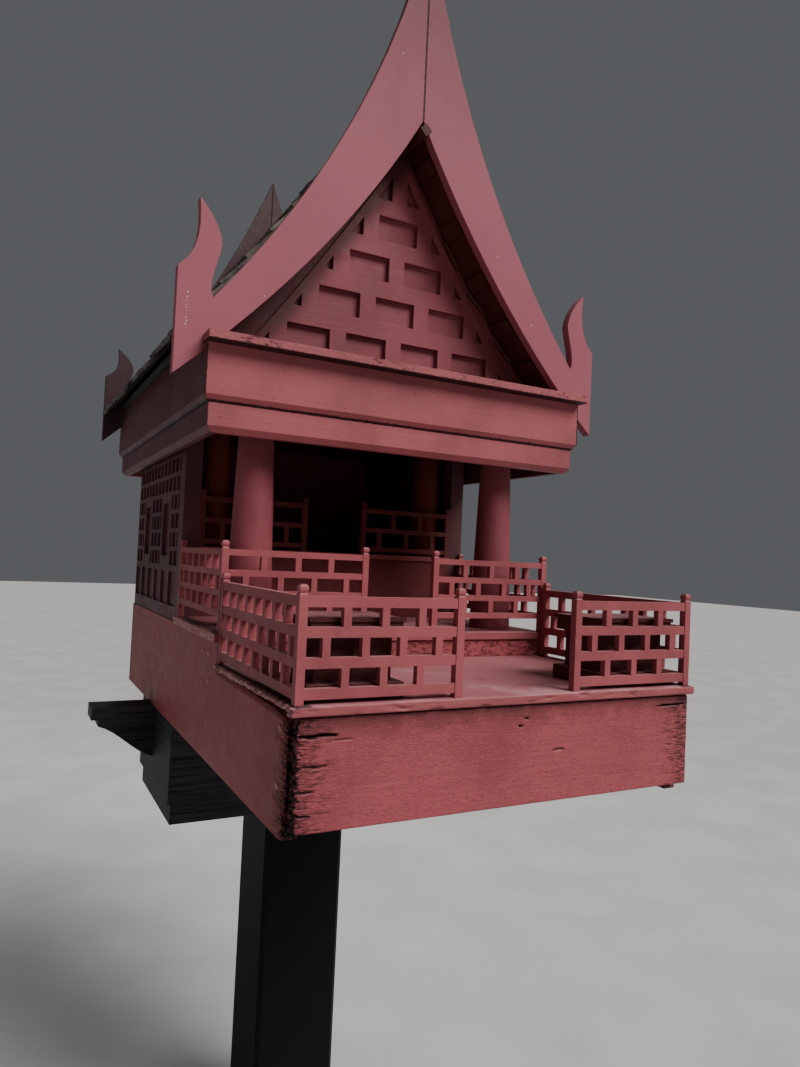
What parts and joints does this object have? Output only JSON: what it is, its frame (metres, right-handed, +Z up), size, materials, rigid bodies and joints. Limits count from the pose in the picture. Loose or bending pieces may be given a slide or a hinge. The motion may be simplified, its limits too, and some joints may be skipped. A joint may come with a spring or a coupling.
{
  "type": "spirit house",
  "caption": "Small wooden shrine house on a single post: stepped floor box with terrace, porch and raised room, lattice fences, round columns and a steep concave gable roof with horned bargeboards.",
  "frame": {"origin": "centre of the post's foot, at ground level", "axes": "+X to the right as one faces the terrace, +Y from the terrace towards the room, +Z up the post"},
  "size_m": [1.034, 1.518, 2.852],
  "materials": {
    "red_paint": "weathered brick-red paint",
    "worn_deck": "worn red paint on boards",
    "bare_timber": "bare reddish timber",
    "black_timber": "dull black paint",
    "shingle_wood": "weathered grey wood"
  },
  "bodies": {
    "root": {"post": "black_timber", "post_cap": "black_timber", "base_cross_beams": "black_timber", "base_side_beams": "black_timber", "bracket_arms": "black_timber", "side_board_left": "red_paint", "side_board_right": "red_paint", "front_board": "red_paint", "rear_board": "red_paint", "joists": "bare_timber", "floor_bearers": "bare_timber", "terrace_floor": "worn_deck", "porch_riser": "red_paint", "porch_floor": "worn_deck", "room_riser": "red_paint", "room_floor": "worn_deck", "terrace_fence_front_left": "red_paint", "terrace_fence_front_right": "red_paint", "terrace_fence_side_left": "red_paint", "terrace_fence_side_right": "red_paint", "porch_fence_front_left": "red_paint", "porch_fence_front_right": "red_paint", "porch_fence_side_left": "red_paint", "porch_fence_side_right": "red_paint", "room_fence_left": "red_paint", "room_fence_right": "red_paint", "front_columns": "red_paint", "inner_columns": "red_paint", "wall_left": "red_paint", "wall_right": "red_paint", "wall_rear": "red_paint", "tie_beams": "bare_timber", "pediment_front": "red_paint", "pediment_rear": "red_paint", "purlins": "bare_timber", "ridge_pole": "bare_timber", "soffit": "bare_timber", "soffit_battens": "bare_timber", "bargeboard_front_left": "red_paint", "bargeboard_front_right": "red_paint", "bargeboard_rear_left": "red_paint", "bargeboard_rear_right": "red_paint", "roof_left": "shingle_wood", "roof_right": "shingle_wood", "eaves_front": "red_paint", "eaves_rear": "red_paint", "eaves_left": "red_paint", "eaves_right": "red_paint", "cornice_strips": "red_paint", "altar_left": "red_paint", "altar_right": "red_paint"}
  },
  "joints": []
}
